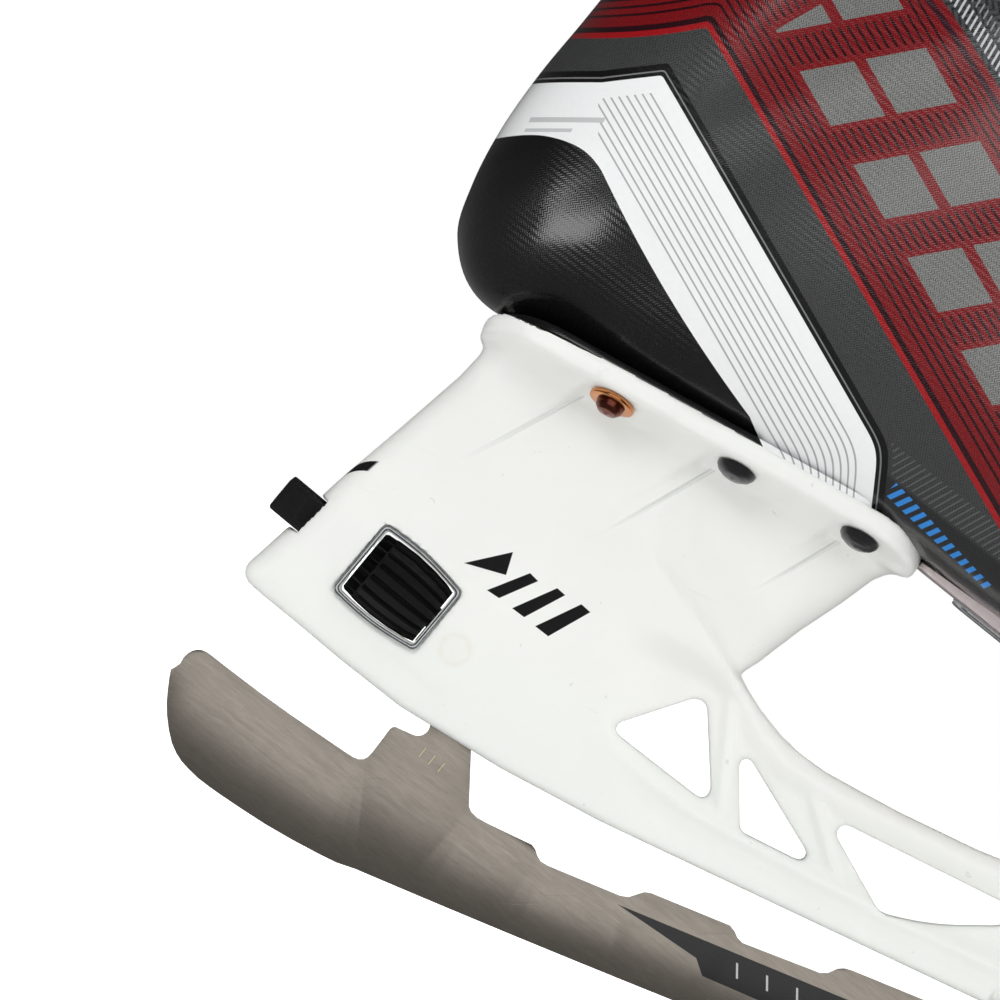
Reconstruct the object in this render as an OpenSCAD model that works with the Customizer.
// Ice hockey skate, right foot: one-piece boot, nylon holder, quick-release steel runner.
// Rest pose: runner unlatched and dropped at the tail, lock tab pulled out.
// +X toe, +Y skater's left, +Z up, origin on the ice line under the middle of the locked runner.

/* [Holder] */
// Heel sole above the ice with the runner locked up
heel_h = 97.5; // [90:0.5:105]
// Distance from the heel flange tip to the middle of the runner
mid_x = 116; // [105:1:125]
// Half width of the rear flange
rear_flange_w = 27; // [24:0.5:30]
// Half width of the front flange
front_flange_w = 37; // [33:0.5:41]
// Flange thickness
flange_t = 3.8; // [3:0.1:5]

/* [Runner] */
// Steel thickness
steel_t = 2.9; // [2.5:0.1:3.2]
// Drop of the unlatched runner about its front hook
drop_deg = 4; // [2:0.5:5]
// Rocker radius of the ice edge
rocker_r = 3000; // [2400:100:4000]

/* [Quick release] */
// Tilt of the thumbwheel axis below level
axis_deg = 14.5; // [12:0.5:17]
// Thumbwheel radius at its thickest
wheel_r = 7.7; // [7:0.1:7.8]
// Travel of the lock tab
tab_travel = 6.5; // [5:0.5:7]
// Travel of the latch hook
hook_travel = 3; // [2.5:0.1:3.2]

/* [Boot] */
// Shell wall
shell_t = 3; // [2:0.2:3]
// Half width of the throat at the top
throat_w = 17; // [15:0.5:20]
// Eyelets on each side
eyelet_n = 11; // [9:1:12]
// Eyelet bore radius
eyelet_r = 2.4; // [2.2:0.1:2.6]
// Lace radius
lace_r = 1.6; // [1.2:0.1:1.9]

/* [Hidden] */
$fn = 32;

white = [0.93, 0.94, 0.92];
black = [0.08, 0.08, 0.09];
steel = [0.6, 0.57, 0.53];
bright_metal = [0.8, 0.82, 0.84];
eyelet_metal = [0.55, 0.56, 0.58];
dark_copper = [0.45, 0.2, 0.15];
bright_copper = [0.8, 0.45, 0.2];
sole_black = [0.1, 0.1, 0.11];
grille_grey = [0.3, 0.3, 0.32];
liner_grey = [0.2, 0.2, 0.22];
padding_grey = [0.16, 0.16, 0.18];
footbed_grey = [0.35, 0.35, 0.36];
facing_white = [0.85, 0.85, 0.86];
tongue_grey = [0.72, 0.73, 0.74];
lace_white = [0.9, 0.9, 0.9];
tip_grey = [0.7, 0.7, 0.72];

// ---------- frames ----------
// Parts are drawn from the rear end of the heel sole; [x, z] pairs below are in that frame.
pivot = [226, -64];          // front hook centre
wheel_centre = [7.5, -56.1];
module from_heel() translate([-mid_x, 0, heel_h]) children();
module at_xz(place) translate([place[0], 0, place[1]]) children();
// X-Z profile extruded across the skate
module across(y_from, y_to) translate([0, y_to, 0]) rotate([90, 0, 0])
  linear_extrude(y_to - y_from) children();
module slab(half_w) across(-half_w, half_w) children();
module on_side(side, inner, outer)
  across(side > 0 ? inner : -outer, side > 0 ? outer : -inner) children();
// Y-Z profile extruded along X
module lengthwise(back, front) translate([back, 0, 0]) rotate([90, 0, 90])
  linear_extrude(front - back) children();
// latch frame: +X forward along the thumbwheel axis, +Z up across it
module latch_frame() at_xz(wheel_centre) rotate([0, axis_deg, 0]) children();
module rod(back, front, r) translate([back, 0, 0]) rotate([0, 90, 0])
  cylinder(h = front - back, r = r);
module cross_pin(centre, half_w, r) translate(centre) rotate([90, 0, 0])
  translate([0, 0, -half_w]) cylinder(h = 2 * half_w, r = r);
module pivot_disc(half_w, r) cross_pin([pivot[0], 0, pivot[1]], half_w, r);
module aimed(place, normal) translate(place)
  rotate([0, acos(normal[2]), atan2(normal[1], normal[0])]) children();
module softened(r) offset(r = r) offset(delta = -r) children();
module rounded(back, front, half_w, r) softened(r)
  polygon([[back, -half_w], [front, -half_w], [front, half_w], [back, half_w]]);

function spread(from, to, steps) = [for (i = [0:steps]) from + (to - from) * i / steps];
function unit(vector) = vector / norm(vector);
// half outline followed by its mirror image in reverse; flip holds the sign of each coordinate
function mirrored(half, flip) = concat(half,
  [for (i = [len(half) - 1:-1:0]) [half[i][0] * flip[0], half[i][1] * flip[1]]]);

// ---------- meshes ----------
function quad(a, b, c, d) = [[a, b, c], [a, c, d]];
function flipped(faces) = [for (f = faces) [f[0], f[2], f[1]]];
// band of closed rings whose first point has index start
function ring_faces(start, rings, sides) = [for (i = [0:rings - 2]) for (j = [0:sides - 1])
  let(a = start + i * sides + j, b = start + i * sides + (j + 1) % sides)
  each quad(a, a + sides, b + sides, b)];
// cap from one ring to its hub point
function fan_faces(start, sides, hub) =
  [for (j = [0:sides - 1]) [start + j, hub, start + (j + 1) % sides]];
// closed skin over two grids of points, outer grid first
module skin(points, rows, cols) {
  inner = rows * cols;
  last_row = inner - cols;
  polyhedron(points, concat(
    [for (i = [0:rows - 2]) for (j = [0:cols - 2]) let(a = i * cols + j)
      each quad(a, a + 1, a + cols + 1, a + cols)],
    [for (i = [0:rows - 2]) for (j = [0:cols - 2]) let(a = inner + i * cols + j)
      each quad(a, a + cols, a + cols + 1, a + 1)],
    [for (i = [0:rows - 2]) let(a = i * cols)
      each quad(a, a + cols, inner + a + cols, inner + a)],
    [for (i = [0:rows - 2]) let(a = i * cols + cols - 1)
      each quad(a, inner + a, inner + a + cols, a + cols)],
    [for (j = [0:cols - 2]) each quad(j, inner + j, inner + j + 1, j + 1)],
    [for (j = [0:cols - 2]) let(a = last_row + j)
      each quad(a, a + 1, inner + a + 1, inner + a)]),
    convexity = 10);
}

// ---------- boot form ----------
// Sections from toe to collar, numbered from 0. Columns: far x, far z (sole, heel, back),
// near x, near z (toe top, instep), half width, side shift, sag, squareness of the far side
sections = [
  [267.5, 4, 268.5, 9, 4, 5, 0, 2.4],
  [264, -6, 265.5, 19, 18, 5, 0, 2.6],
  [255, -11.5, 259, 29.5, 30.5, 4.5, 0, 3],
  [240, -15.5, 248, 39, 40.5, 3.5, 0, 3.6],
  [221, -17.2, 232, 46.5, 47.5, 2, 0, 4],
  [200, -17.5, 214, 53, 51, 1, 0, 4.2],
  [180, -17.3, 197, 61, 51, 0.5, 0, 4.2],
  [160, -16.9, 181, 70.5, 48, 0, 0, 4.2],
  [138, -13.7, 166, 81, 44, 0, 0, 4.2],
  [116, -8.5, 152.5, 92.5, 40.5, 0, 0, 4.2],
  [92, -2.4, 140, 105, 38, 0, 0, 4.2],
  [66, -0.7, 129.5, 116.5, 36.5, 0, 0, 4],
  [38, 1.2, 121, 126.5, 36, 0, 0, 3.8],
  [13, 3, 114.5, 134.5, 35.5, 0, 0, 3.2],
  [-4.8, 4.9, 110.5, 140, 35.5, 0, 0, 2.8],
  [-12.8, 12.7, 108.2, 143.8, 35.5, 0, 0, 2.6],
  [-14.6, 23.5, 106.8, 146.6, 36, 0, 0, 2.6],
  [-14.1, 36, 105.8, 148.8, 36.5, 0, 0, 2.6],
  [-11.8, 49.3, 105, 150.6, 37, 0, 0, 2.6],
  [-8.3, 63, 104.4, 152.1, 37.5, 0, 0, 2.5],
  [-4.5, 79, 104, 153.4, 38, 0, 0, 2.5],
  [-0.8, 95, 103.7, 154.5, 38.5, 0, 0.5, 2.5],
  [1.6, 111, 103.4, 155.5, 39.5, 0, 1.5, 2.5],
  [2.6, 126, 103.2, 156.4, 40.5, 0, 3, 2.5],
  [2.4, 139, 103.1, 157.2, 41.5, 0, 6, 2.5],
  [1.6, 150, 103, 158, 42, 0, 10, 2.5]];
top_station = len(sections) - 1;

// Catmull-Rom curve from start to end
function spline(before, start, end, after, t) = 0.5 * (2 * start + (end - before) * t
  + (2 * before - 5 * start + 4 * end - after) * t * t
  + (3 * start - before - 3 * end + after) * t * t * t);
function section(station) = let(
    place = max(0, min(top_station, station)),
    i = min(floor(place), top_station - 1))
  spline(sections[max(i - 1, 0)], sections[i], sections[i + 1],
    sections[min(i + 2, top_station)], place - i);
function half_width(station) = section(station)[4];
function near_squareness(station) = let(t = min(1, max(0, (station - 8) / 7)))
  2.2 + 0.5 * t * t * (3 - 2 * t);
function signed_power(x, squareness) = sign(x) * pow(abs(x), 2 / squareness);
// point on the form: angle round the section (0 instep, 180 sole or heel), depth inward
function form_point(station, angle, depth) = let(
    row = section(station),
    far = [row[0], row[1]],
    near = [row[2], row[3]],
    height = norm(near - far),
    axis = (near - far) / height,
    squareness = cos(angle) < 0 ? row[7] : near_squareness(station),
    x = max(0.2, height / 2 - depth) * signed_power(cos(angle), squareness),
    y = max(0.2, row[4] - depth) * signed_power(sin(angle), squareness),
    sag = row[6] * pow(sin(angle), 2),
    place = (far + near) / 2 + axis * x + [axis[1], -axis[0]] * sag)
  [place[0], y + row[5], place[1]];

// arc length along the near line: [length, station]
arc_table = [for (k = 0, s = 0; k <= top_station * 4; k = k + 1,
  s = s + norm(form_point(k / 4, 0, 0) - form_point((k - 1) / 4, 0, 0))) [s, k / 4]];
station_table = [for (row = arc_table) [row[1], row[0]]];
function arc_of(station) = lookup(station, station_table);
function station_at(arc) = lookup(arc, arc_table);
function arc_stations(from, to, steps) = [for (s = spread(from, to, steps)) station_at(s)];

// angle at which the near side reaches a half width
function angle_at(station, half_w) =
  asin(min(1, pow(half_w / half_width(station), near_squareness(station) / 2)));
throat_toe_w = 12.5;         // half width of the throat at the toe end
function throat_at(station) = throat_toe_w
  + (throat_w - throat_toe_w) * min(1, max(0, (station - 4) / 10));
function beside_throat(station, margin) = angle_at(station, throat_at(station) + margin);
function shell_edge(station) = beside_throat(station, 11.6);

// sheet of the form between two depths; from and to give the end angles at each station
module sheet(stations, from, to, outer, inner, steps)
  skin([for (depth = [outer, inner]) for (i = [0:len(stations) - 1]) for (j = [0:steps])
    form_point(stations[i], from[i] + (to[i] - from[i]) * j / steps, depth)],
    len(stations), steps + 1);
// sheet round the far side, from each edge angle to its mirror image
module far_sheet(stations, edges, outer, inner, steps)
  sheet(stations, edges, [for (edge = edges) 360 - edge], outer, inner, steps);

// ---------- sole planes and rivet places ----------
heel = 0;                    // index of the rear flange in the tables below
ball = 1;                    // index of the front flange
sole_deg = 3.81;             // heel sole falls toward the toe
ball_z = -21;
hinge_y = [12, 22];          // where each flange starts to turn up round the sole
wing_deg = [18, 13];
wing_box = [[-2, 110, 40], [130, 130, 60]];  // rear x, length, reach from the middle
rivet_x = [[29.4, 57.5, 85.4], [160, 184, 208, 232]];
rivet_y = [19.2, 28.6];
rivet_r = 1.95;
rivet_hole_r = 2.05;

module on_sole(part) {
  if (part == heel) rotate([0, sole_deg, 0]) children();
  else translate([0, 0, ball_z]) children();
}
module wing(part, side) translate([0, side * hinge_y[part], 0])
  rotate([side * wing_deg[part], 0, 0]) translate([0, -side * hinge_y[part], 0]) children();
// both upturned wings of a plate outline, running a little inside the hinge line
module wings(part, bottom, thickness, overlap) {
  box = wing_box[part];
  start = hinge_y[part] - overlap;
  for (side = [-1, 1]) wing(part, side) translate([0, 0, bottom]) linear_extrude(thickness)
    intersection() {
      children();
      translate([box[0], side > 0 ? start : -box[2]]) square([box[1], box[2] - start]);
    }
}
module rivet_at(part, i, side) on_sole(part) wing(part, side)
  translate([rivet_x[part][i], side * rivet_y[part], 0]) children();
module all_rivets_at() for (side = [-1, 1]) for (part = [heel, ball])
  for (i = [0:len(rivet_x[part]) - 1]) rivet_at(part, i, side) children();
module rivet_holes(depth) all_rivets_at() translate([0, 0, -9])
  cylinder(h = depth, r = rivet_hole_r);

// ---------- thumbwheel window ----------
window_back = -10;
window_front = 8.4;
function window_half_h(x) = let(
    t = (max(window_back, min(window_front, x)) - window_back) / (window_front - window_back))
  7.5 - 0.9 * t + 0.75 * sin(180 * t);
module window_outline(grow) polygon(mirrored(
  [for (x = spread(window_back - grow, window_front + grow, 12)) [x, window_half_h(x) + grow]],
  [1, -1]));

// ---------- holder ----------
// side outlines of the towers with the bars below them: x, z
rear_tower_side = [[2, -3], [1.4, -6.7], [-0.4, -12.3], [-6.8, -26.8], [-13.3, -41.1],
  [-17, -50.3], [-23.4, -62.9], [-24.3, -65.2], [-23.6, -67.2], [-18.2, -68.1], [-8.1, -70.9],
  [2, -73.6], [16.9, -77], [40.3, -79.6], [62.9, -80.7], [122, -80.6], [122, -53.6],
  [102.8, -52.7], [93.6, -51.8], [82.5, -47.3], [76.2, -43], [77, -40], [82.8, -29.2],
  [87.8, -20.9], [91.6, -12.3], [93, -9]];
front_tower_side = [[120, -80.6], [120, -53.6], [140, -53.4], [149, -51], [154, -46],
  [155.5, -40], [153, -33], [150, -24], [240, -24], [241, -34], [243.5, -46], [248, -60],
  [253.5, -70], [254.5, -74], [252, -77.2], [240, -80.2], [200, -80.6]];
// left halves of the cross sections: y, z
rear_tower_half = [[5.2, -81], [6.2, -76], [7.6, -66], [8.6, -56], [8.9, -44], [9.4, -34],
  [10.4, -24], [12, -14], [13.2, -3]];
front_tower_half = [[5.2, -81], [6.2, -76], [7.4, -66], [8.4, -56], [10.5, -44], [14.5, -34],
  [20, -24]];
// hollows of the towers: x, z
rear_hollow = [[12, 2], [84, -4], [70, -36], [30, -40], [6, -36]];
front_hollow = [[160, -18], [234, -18], [236, -46], [166, -46]];
// openings between the towers: corner radius, then x, z points
web_openings = [
  [1.2, [[56.6, -61.6], [70, -50.6], [80.6, -65.4], [79.2, -68]]],
  [1, [[83.2, -56.8], [103.4, -68.8], [88.4, -68.5], [83.6, -59]]],
  [1.2, [[105.4, -61.2], [149, -60.6], [140, -65.8], [129.5, -70.4], [118.6, -70.6]]]];
// chamber of the latch hook, and slots for the steel: x, z
hook_chamber = [[13, -53.4], [30, -53.4], [30, -60], [24, -67.6], [9, -67.6]];
rear_post_slot = [[11.2, -90], [11.6, -66], [17, -64], [17, -54.4], [32.5, -54.4],
  [38.6, -66], [41.5, -77], [41.5, -90]];
front_post_slot = [[211, -90], [211, -70], [216, -57.5], [232, -57.5], [238.5, -66],
  [241, -90]];
tail_slot = [[-30, -90], [-30, -63.6], [-20, -66.4], [11.8, -74.4], [11.8, -90]];
blade_slot = [[40, -90], [40, -77.3], [234, -77.8], [262, -74.2], [262, -90]];
blade_slot_w = 1.75;         // half width
post_slot_w = 1.8;           // half width

// front hook socket and the pocket that holds it
head_r = 6;                  // round head of the front post
head_bore_r = 6.08;
head_slot_w = 1.6;           // half width
socket_r = 8.4;
socket_w = 4.5;              // half width
pocket_r = socket_r + 0.15;
pocket_w = socket_w + 0.1;
function from_pivot(points) = [for (p = points) pivot + p];

flange_bottom = -flange_t - 0.4;
module tower(side_outline, half_section, back, front) intersection() {
  slab(30) polygon(side_outline);
  lengthwise(back, front) polygon(mirrored(half_section, [-1, 1]));
}
module rear_flange() on_sole(heel) {
  translate([0, 0, flange_bottom]) linear_extrude(flange_t) intersection() {
    rounded(0, 98, 12.4, 2);
    translate([48, 0]) circle(r = 50);
  }
  wings(heel, flange_bottom, flange_t, 0.4) rounded(1, 97.4, rear_flange_w, 13);
}
module front_flange() on_sole(ball) {
  translate([0, 0, flange_bottom]) linear_extrude(flange_t) rounded(144, 245, 22.4, 8);
  wings(ball, flange_bottom, flange_t, 0.4) rounded(146, 244, front_flange_w, 15);
}
// wheel window, tab slot and bezel seats
module latch_cuts() latch_frame() {
  slab(20) window_outline(0);
  translate([-45, -7, -4.3]) cube([36, 14, 8.6]);
  for (side = [-1, 1]) on_side(side, 7.7, 12) window_outline(1.25);
}
module socket_pocket() {
  pivot_disc(pocket_w, pocket_r);
  slab(pocket_w) polygon(from_pivot([[-pocket_r, 0], [-10.65, -16], [-10.65, -26],
    [10.65, -26], [10.65, -16], [pocket_r, 0]]));
}

module holder() color(white) from_heel() difference() {
  union() {
    tower(rear_tower_side, rear_tower_half, -30, 122);
    tower(front_tower_side, front_tower_half, 121, 260);
    rear_flange();
    front_flange();
  }
  slab(5.6) polygon(rear_hollow);
  slab(7) polygon(front_hollow);
  rivet_holes(12);
  for (opening = web_openings) slab(20) softened(opening[0]) polygon(opening[1]);
  latch_cuts();
  slab(3) polygon(hook_chamber);
  slab(post_slot_w) polygon(rear_post_slot);
  slab(blade_slot_w) polygon(tail_slot);
  slab(blade_slot_w) polygon(blade_slot);
  slab(post_slot_w) polygon(front_post_slot);
  socket_pocket();
}

// steel liner of the front pocket: two cheeks and a saddle over the head of the front post
module front_hook_socket() color(steel) from_heel() difference() {
  union() {
    pivot_disc(socket_w, socket_r);
    slab(socket_w) polygon(from_pivot([[-socket_r, 0], [-9.84, -11.2], [9.84, -11.2],
      [socket_r, 0]]));
  }
  slab(head_slot_w) polygon(from_pivot([[-head_bore_r, 0], [-9.6, -26], [10.4, -26],
    [head_bore_r, 0]]));
  pivot_disc(head_slot_w, head_bore_r);
}

// ---------- quick release ----------
detent_y = 5.95;             // distance of the lock pins from the wheel axis
detent_step = 22.5;          // degrees between wheel pockets
// thumbwheel profile: radius, place along the axis
wheel_profile = [[0, -9.8], [wheel_r - 1, -9.8], [wheel_r - 0.55, -9.2], [wheel_r - 0.2, -6],
  [wheel_r, -2], [wheel_r - 0.3, 2.5], [wheel_r - 0.8, 6], [wheel_r - 1.4, 8], [0, 8]];
// hook at the front of the rod: x, z in the latch frame
hook_profile = [[11.2, 2.4], [13.1, 2.4], [13.1, -3.2], [15.9, -3.2], [16.1, -3.6],
  [15.7, -5.4], [15.2, -5.8], [11.2, -5.8]];
tab_back = -24.9;
tab_length = 14.7;

module window_bezels() color(bright_metal) from_heel() latch_frame() for (side = [-1, 1])
  on_side(side, 7.75, 9.3) difference() {
    softened(1.4) window_outline(1.1);
    softened(0.9) window_outline(0.25);
  }

// bored wheel with pin pockets in its rear face and grip grooves round its rim
module thumbwheel() color(black) from_heel() latch_frame() difference() {
  rotate([0, 90, 0]) rotate([0, 0, 15]) rotate_extrude($fn = 48) polygon(wheel_profile);
  rod(-12, 10, 2.5);
  for (a = [0:detent_step:359]) rotate([a, 0, 0])
    translate([0, 0, detent_y]) rod(-12, -7.4, 0.85);
  for (a = [detent_step / 2:detent_step:359]) rotate([a, 0, 0])
    translate([0, 0, wheel_r + 0.35]) rotate([0, 2, 0]) rod(-6.6, 10, 0.85);
}

// latch hook in its drawn-back position
module hook_rod() color(steel) from_heel() latch_frame() translate([-hook_travel, 0, 0]) {
  rod(-5.5, 11.3, 2.42);
  slab(2.5) polygon(hook_profile);
}

module tab_frame() latch_frame() translate([-tab_travel, 0, 0]) children();
module lock_tab() color(black) from_heel() tab_frame() difference() {
  union() {
    translate([tab_back, -6.8, -4.1]) cube([tab_length, 13.6, 7.6]);
    translate([tab_back, -1.2, 3.4]) cube([tab_length, 2.4, 0.75]);
  }
  // side hollows, top groove, pin holes
  for (side = [-1, 1]) hull() for (z = [-1.2, 0.8]) cross_pin([-20.6, side * 7.3, z], 1.2, 1.6);
  cross_pin([-23.6, 0, 4.6], 9, 1.5);
  for (side = [-1, 1]) translate([0, side * detent_y, 0]) rod(-13.5, -9, 0.62);
}

// pins in the nose of the tab, which drop into the pockets of the wheel
module lock_pins() color(steel) from_heel() tab_frame()
  for (side = [-1, 1]) translate([0, side * detent_y, 0]) rod(-13.4, -8, 0.6);

// ---------- runner ----------
// runner outline in the locked pose: x, z
tail_and_nose = [[-28.8, -72.2], [-28.1, -71.3], [-27.5, -70.4], [-27.3, -69], [-26.8, -67.9],
  [-26.1, -67.1], [-25.3, -66.6], [-24.4, -66.35], [-23.3, -66.4], [-22, -66.75],
  [-18.2, -67.9], [-10.5, -70.1], [-2.9, -72.05], [9.2, -74.85], [11.4, -75.3],
  [12.6, -75.35], [13.5, -75], [14.2, -74.3], [14.7, -73.1], [15.8, -69.3], [16.3, -67.4],
  [16.75, -66.8], [17.3, -66.6], [18.6, -66.7]];
latch_notch = [for (a = [-90:15:90]) [21.2, -64.4] + 2.4 * [cos(a), sin(a)]];
rear_post_and_top = [[21.4, -62], [21, -61.6], [21, -57.6], [22.2, -56.4], [28.6, -56.4],
  [30.4, -58], [33.1, -65.75], [36.3, -75], [36.7, -76.1], [37.5, -76.95], [39, -77.6],
  [41.7, -77.95], [51.2, -78.65], [52.2, -79.3], [53, -80.3], [54, -81.1], [55.6, -81.4],
  [71.3, -81.75], [73, -81.4], [74.7, -80], [75.6, -79.3], [76.9, -79], [94, -79.3],
  [95.2, -80], [96.2, -81], [97.6, -81.65], [114.2, -81.6], [115.7, -81], [117.2, -79.5],
  [118.4, -78.95], [120, -78.8], [137, -79.1], [138.2, -79.8], [139.2, -80.8],
  [140.6, -81.5], [157, -81.5], [158.6, -81], [160, -79.6], [161.4, -79], [163, -78.85],
  [180, -79.1], [181.2, -79.8], [182.2, -80.8], [183.6, -81.5], [200, -81.5],
  [201.6, -81], [203, -79.6], [204.4, -79], [214.4, -78.7], [217.4, -77.7],
  [218.8, -76.1], [220.2, -68.5]];
front_head = [for (a = [218:-14:-38]) pivot + head_r * [cos(a), sin(a)]];
runner_tip = [[231.8, -68.5], [232.8, -76.5], [233.8, -78.2], [236, -79.2], [250, -79.2],
  [253.6, -77.6], [255.4, -76.6], [256.8, -76.7], [257.7, -77.6], [257.8, -79],
  [256.8, -82], [254.6, -85.6], [251.4, -88.8], [247.4, -91.6], [242, -93.9],
  [235, -95.4], [226, -96]];
// ice edge from front to rear
rocker = [for (i = [40:-1:0]) let(x = 20 + 198 * i / 40)
  [x, -heel_h + rocker_r - sqrt(rocker_r * rocker_r - pow(x - mid_x, 2))]];
tail_underside = [[16, -96.15], [11.95, -95.8], [6.1, -95.1], [0.2, -94.2], [-5.9, -92.95],
  [-10.15, -92], [-13, -91.3], [-15.9, -90.45], [-18.2, -89.5], [-20.2, -88.5],
  [-21.7, -87.4], [-23.3, -85.8], [-24.8, -83.6], [-26.2, -81], [-27.2, -78.6],
  [-27.9, -76.2], [-28.5, -73.8]];
module runner() color(steel) from_heel() at_xz(pivot) rotate([0, -drop_deg, 0])
  at_xz(-pivot) slab(steel_t / 2) polygon(concat(tail_and_nose, latch_notch,
    rear_post_and_top, front_head, runner_tip, rocker, tail_underside));

// ---------- fasteners ----------
// head profiles below the flange: radius, z
copper_head = [[0, 0], [3, 0], [2.8, -1.1], [2, -1.9], [0, -2.3]];
dome_head = [[0, 0], [4.2, 0], [4.1, -0.5], [3.5, -1.3], [2.2, -2], [0, -2.3]];
shank_top = 1.6;
module rivet(shank_bottom, head_z, head) {
  translate([0, 0, shank_bottom]) cylinder(h = shank_top - shank_bottom, r = rivet_r);
  translate([0, 0, head_z]) rotate_extrude() polygon(head);
  translate([0, 0, 1.58]) cylinder(h = 0.37, r = 2.6);
}
module dome_rivet() rivet(-5.5, flange_bottom - 0.05, dome_head);
module ring(r, thickness, bore_h) difference() {
  cylinder(h = thickness, r = r);
  translate([0, 0, -1]) cylinder(h = bore_h, r = rivet_hole_r);
}
// the rearmost pair of rivets is copper
module copper_rivets() color(dark_copper) from_heel()
  for (side = [-1, 1]) rivet_at(heel, 0, side) rivet(-6.5, -5.25, copper_head);
module copper_burrs() color(bright_copper) from_heel() for (side = [-1, 1])
  rivet_at(heel, 0, side) translate([0, 0, flange_bottom - 1]) ring(4.8, 0.95, 4);
module rear_rivets() color(black) from_heel()
  for (side = [-1, 1]) for (i = [1:2]) rivet_at(heel, i, side) dome_rivet();
module front_rivets() color(black) from_heel()
  for (side = [-1, 1]) for (i = [0:3]) rivet_at(ball, i, side) dome_rivet();
module rivet_washers() color(steel) from_heel()
  all_rivets_at() translate([0, 0, 1.25]) ring(4.1, 0.3, 3);

// ---------- sole ----------
outsole_bottom = -0.2;
outsole_t = 1.4;
wing_inset = 0.5;            // outsole wings are this much narrower than the flanges
// sloping plane between the heel and the ball of the foot
module waist_plane() translate([98.4, 0, -6.85]) rotate([0, 13.5, 0]) children();
module outsole() color(sole_black) from_heel() difference() {
  union() {
    on_sole(heel) {
      translate([0, 0, outsole_bottom]) linear_extrude(outsole_t) rounded(1, 99, 12.4, 1.5);
      wings(heel, outsole_bottom, outsole_t, 0.2)
        rounded(2, 93, rear_flange_w - wing_inset, 13);
    }
    waist_plane() translate([0, 0, -0.8]) linear_extrude(2.8) rounded(0, 54, 17, 4);
    on_sole(ball) {
      translate([0, 0, outsole_bottom]) linear_extrude(outsole_t) rounded(143, 246, 22.4, 8);
      wings(ball, outsole_bottom, outsole_t, 0.2)
        rounded(147, 243, front_flange_w - wing_inset, 15);
    }
  }
  rivet_holes(14);
}
module sole_vent_grille() color(grille_grey) from_heel() waist_plane()
  translate([20, 0, -2.05]) linear_extrude(1.2) difference() {
    rounded(-10, 10, 5, 4.9);
    for (i = [-2:2]) translate([i * 3.2, 0]) square([1.2, 6], center = true);
  }

// ---------- boot ----------
shell_stations = concat(spread(4.5, 13, 17), spread(13.5, 16.5, 6),
  spread(17.3, top_station, 13));
module boot_shell() color(black) from_heel()
  far_sheet(shell_stations, [for (v = shell_stations) shell_edge(v)], 0, shell_t, 42);

liner_stations = concat(spread(4.7, 13, 12), spread(13.6, 16.4, 4), spread(17.4, 24.7, 8));
module liner() color(liner_grey) from_heel()
  far_sheet(liner_stations, [for (v = liner_stations) shell_edge(v) + 3],
    shell_t + 1, shell_t + 3.3, 36);

padding_stations = spread(18.5, 24.6, 8);
module collar_padding() color(padding_grey) from_heel()
  far_sheet(padding_stations, [for (v = padding_stations) angle_at(v, 39)],
    shell_t + 3.6, shell_t + 9.6, 30);

footbed_stations = concat(spread(1.9, 12, 16), [12.6, 13.1]);
module footbed() color(footbed_grey) from_heel()
  far_sheet(footbed_stations,
    [for (v = footbed_stations) 180 - angle_at(v, half_width(v) * 0.8)],
    shell_t + 3.6, shell_t + 7.4, 14);

// toe cap: cup over the front of the form, closed at its tip
cap_outer_depth = -0.6;
cap_inner_depth = 2.4;
function section_middle(station, depth) =
  (form_point(station, 0, depth) + form_point(station, 180, depth)) / 2;
module toe_cap() color(black) from_heel() {
  body = spread(4.42, 1, 12);
  outer = concat(body, [0.7, 0.4, 0.15, 0]);
  inner = concat(body, [0.8, 0.65]);
  sides = 40;
  inner_start = len(outer) * sides;
  tip = inner_start + len(inner) * sides;
  points = concat(
    [for (v = outer) for (j = [0:sides - 1]) form_point(v, 360 * j / sides, cap_outer_depth)],
    [for (v = inner) for (j = [0:sides - 1]) form_point(v, 360 * j / sides, cap_inner_depth)],
    [section_middle(0, 0) + [0.6, 0, 0],
      section_middle(inner[len(inner) - 1], cap_inner_depth)]);
  polyhedron(points, concat(
    ring_faces(0, len(outer), sides),
    fan_faces(inner_start - sides, sides, tip),
    flipped(ring_faces(inner_start, len(inner), sides)),
    flipped(fan_faces(tip - sides, sides, tip + 1)),
    [for (j = [0:sides - 1]) let(b = (j + 1) % sides)
      each quad(j, b, inner_start + b, inner_start + j)]), convexity = 10);
}

// ---------- eyelets ----------
row_start = arc_of(5.0);
row_end = arc_of(24.4);
eye_stations = arc_stations(row_start, row_end, eyelet_n - 1);
function eye_angle(station) = beside_throat(station, 7);
function eye_point(station, side) = form_point(station, side * eye_angle(station), 0);
function eye_normal(station, side) = let(
    angle = side * eye_angle(station),
    round_step = form_point(station, angle + 2, 0) - form_point(station, angle - 2, 0),
    ahead = station_at(min(row_end + 2, arc_of(station) + 3)),
    behind = station_at(arc_of(station) - 3))
  unit(cross(round_step, eye_point(ahead, side) - eye_point(behind, side)));
module at_eyelets() for (side = [-1, 1]) for (v = eye_stations)
  aimed(eye_point(v, side), eye_normal(v, side)) children();

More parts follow.
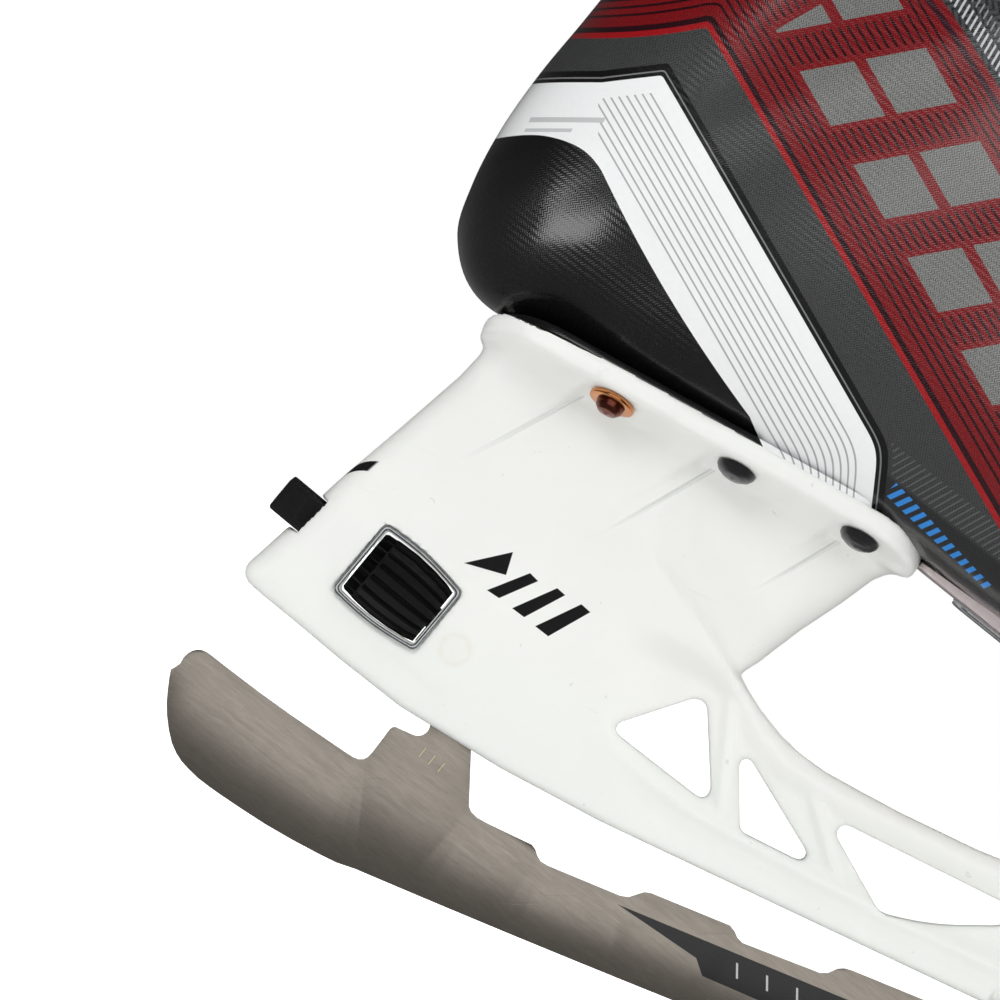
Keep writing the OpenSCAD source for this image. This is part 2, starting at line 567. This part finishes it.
// facing strips that carry the eyelets
facing_stations = arc_stations(row_start - 7, row_end + 4.5, 22);
module eyelet_facings() color(facing_white) from_heel() difference() {
  near_edge = [for (v = facing_stations) beside_throat(v, 0.5)];
  far_edge = [for (v = facing_stations) beside_throat(v, 15.5)];
  union() {
    sheet(facing_stations, -far_edge, -near_edge, -1.5, -0.15, 5);
    sheet(facing_stations, near_edge, far_edge, -1.5, -0.15, 5);
  }
  at_eyelets() translate([0, 0, -1]) cylinder(h = 6, r = eyelet_r + 0.5);
}
module eyelets() color(eyelet_metal) from_heel() at_eyelets() rotate_extrude()
  polygon([[eyelet_r, 0.3], [eyelet_r + 0.45, 0.3], [eyelet_r + 0.45, 2.05],
    [4.2, 2.05], [4.0, 2.35], [3.0, 2.6], [eyelet_r, 2.5]]);

// ---------- tongue ----------
module tongue_base() color(tongue_grey) from_heel() {
  stations = arc_stations(arc_of(4.9), arc_of(24.6), 16);
  edge = [for (v = stations) angle_at(v, 26)];
  sheet(stations, -edge, edge, 9.8, 14.6, 12);
}

// upper tongue flap, leaning forward out of the collar
// t runs up the flap from 0 to 1, q across it from -1 to 1
flap_hinge = [92.5, 159.6];
function flap_point(t, q, depth) = let(
    half_w = 25 + 12 * t - 14 * pow(max(0, t - 0.75) / 0.25, 3),
    y = half_w * q,
    lean = 6 + 24 * t,
    bend = 10 + 12 * t,
    middle = flap_hinge + t * [56 * sin(bend), 57 * cos(bend)],
    back = y * y / (2 * (24 + 20 * t)) + depth)
  [middle[0] - back * cos(lean), y,
    middle[1] + back * sin(lean) * 0.5 - 5 * t * t * pow(q, 4)];
module flap_skin(bottom, top, reach, front, back)
  skin([for (depth = [front, back]) for (t = spread(bottom, top, 12))
    for (q = spread(-reach, reach, 12)) flap_point(t, q, depth)], 13, 13);
module tongue_flap() color(tongue_grey) from_heel() flap_skin(0.02, 1, 1, 0, 6);
module tongue_guard() color(black) from_heel() flap_skin(0.12, 0.88, 0.74, -1.6, -0.2);

// ---------- tendon guard ----------
// rises from the back of the collar; its foot lies on the form up to t = guard_foot
guard_foot = 0.15;
function guard_rise(t) = max(0, t - guard_foot) / (1 - guard_foot);
function guard_point(t, angle, depth) =
  form_point(min(top_station, top_station - 1 + t / guard_foot), angle, depth)
  + [-11 * pow(guard_rise(t), 1.7), 0, 57 * guard_rise(t)];
function guard_half_angle(t) = let(rise = guard_rise(t))
  (50 - 12 * rise) * sqrt(1 - pow(max(0, rise - 0.72) / 0.32, 2));
module tendon_guard() color(black) from_heel()
  skin([for (depth = [-3.4, -0.4]) for (i = [0:14]) for (j = [0:16])
    guard_point(i / 14, 180 + guard_half_angle(i / 14) * (j / 8 - 1), depth)], 15, 17);
module tendon_guard_rivets() color(steel) from_heel() for (side = [-1, 1])
  let(base = guard_point(0.3, 180 + side * 34, -3.6),
    tip = guard_point(0.3, 180 + side * 34, -4.6))
  aimed(base, unit(tip - base)) rotate_extrude()
    polygon([[0, 0], [3.2, 0], [3, 0.7], [1.6, 1.3], [0, 1.5]]);

// ---------- lace ----------
last_eye = eyelet_n - 2;     // the top pair is left unlaced
over = [0.4, -4.1];          // margin beside the throat edge, depth: outside the facing
under = [-1, 2.4];           // the same, inside the boot
// half loop through an eyelet, open toward the throat
function eye_loop(eye, side, rising) = let(
    v = eye_stations[eye],
    normal = eye_normal(v, side),
    inward = unit(cross(cross(normal, [0, -side, 0]), normal)))
  [for (k = [0:6]) let(a = (rising ? 1 : -1) * (30 * k - 90))
    eye_point(v, side) + normal * (1.1 + 3.4 * sin(a)) + inward * (3.3 - 3.4 * cos(a))];
function edge_point(eye, side, ahead, pass) =
  let(v = station_at(arc_of(eye_stations[eye]) + ahead))
  form_point(v, side * beside_throat(v, pass[0]), pass[1]);
function crossing(eye, depth) = form_point(
  station_at((arc_of(eye_stations[eye]) + arc_of(eye_stations[eye + 1])) / 2), 0, depth);
// one lace end zigzagging up the throat from its starting side
function zigzag(start_side, depth) = concat(
  [form_point(eye_stations[0], 0, -1.5) + [0, start_side * 4, 0],
    edge_point(0, start_side, 0, over)],
  eye_loop(0, start_side, false),
  [edge_point(0, start_side, 2, under)],
  [for (i = [1:last_eye]) let(side = i % 2 == 0 ? start_side : -start_side)
    each concat([crossing(i - 1, depth), edge_point(i, side, -2, under)],
      eye_loop(i, side, true),
      i < last_eye ? [edge_point(i, side, 2, over)] : [])]);
// loose end: arc length past the last eyelet, degrees outward of the row, height off the form
loose_end = [[0, 0.6, 6.2], [-8, 5, 6.2], [-24, 10, 5], [-40, 15, 4.8], [-54, 19, 4],
  [-68, 25, 3], [-84, 33, 3.6]];
function loose_run(side) = [for (row = loose_end)
  let(v = station_at(arc_of(eye_stations[last_eye]) + row[0]))
  form_point(v, side * (eye_angle(v) + row[1]), -row[2])];
end_side = last_eye % 2 == 0 ? 1 : -1;
lace_paths = [concat(zigzag(1, 3.7), loose_run(end_side)),
  concat(zigzag(-1, 7.5), loose_run(-end_side))];

function smooth(path, steps) = let(last = len(path) - 1) concat(
  [for (i = [0:last - 1]) for (k = [0:steps - 1])
    spline(path[max(i - 1, 0)], path[i], path[i + 1], path[min(i + 2, last)], k / steps)],
  [path[last]]);
module tube(path, r, sides) {
  count = len(path);
  last = count - 1;
  tangents = [for (i = [0:last]) unit(path[min(i + 1, last)] - path[max(i - 1, 0)])];
  // first normal carried along the path without twist
  normals = [for (i = 0, u = unit(cross(tangents[0], [0.3, 0.2, 1])); i < count; i = i + 1,
    u = unit(u - tangents[min(i, last)] * (u * tangents[min(i, last)]))) u];
  points = concat(
    [for (i = [0:last]) let(side = cross(tangents[i], normals[i])) for (j = [0:sides - 1])
      path[i] + r * (normals[i] * cos(360 * j / sides) + side * sin(360 * j / sides))],
    [path[0], path[last]]);
  polyhedron(points, concat(
    ring_faces(0, count, sides),
    flipped(fan_faces(0, sides, count * sides)),
    fan_faces(last * sides, sides, count * sides + 1)), convexity = 10);
}
module lace() color(lace_white) from_heel()
  for (path = lace_paths) tube(smooth(path, 2), lace_r, 6);
module lace_tips() color(tip_grey) from_heel() for (path = lace_paths)
  let(end = path[len(path) - 1], dir = unit(end - path[len(path) - 2]))
  aimed(end + dir * 0.3, dir) {
    cylinder(h = 16, r = lace_r);
    translate([0, 0, 16]) cylinder(h = 1, r1 = lace_r, r2 = 0.9);
  }

holder();
front_hook_socket();
window_bezels();
thumbwheel();
hook_rod();
lock_tab();
lock_pins();
runner();
outsole();
sole_vent_grille();
boot_shell();
toe_cap();
liner();
collar_padding();
footbed();
eyelet_facings();
eyelets();
lace();
lace_tips();
tongue_base();
tongue_flap();
tongue_guard();
tendon_guard();
tendon_guard_rivets();
copper_rivets();
copper_burrs();
rear_rivets();
front_rivets();
rivet_washers();
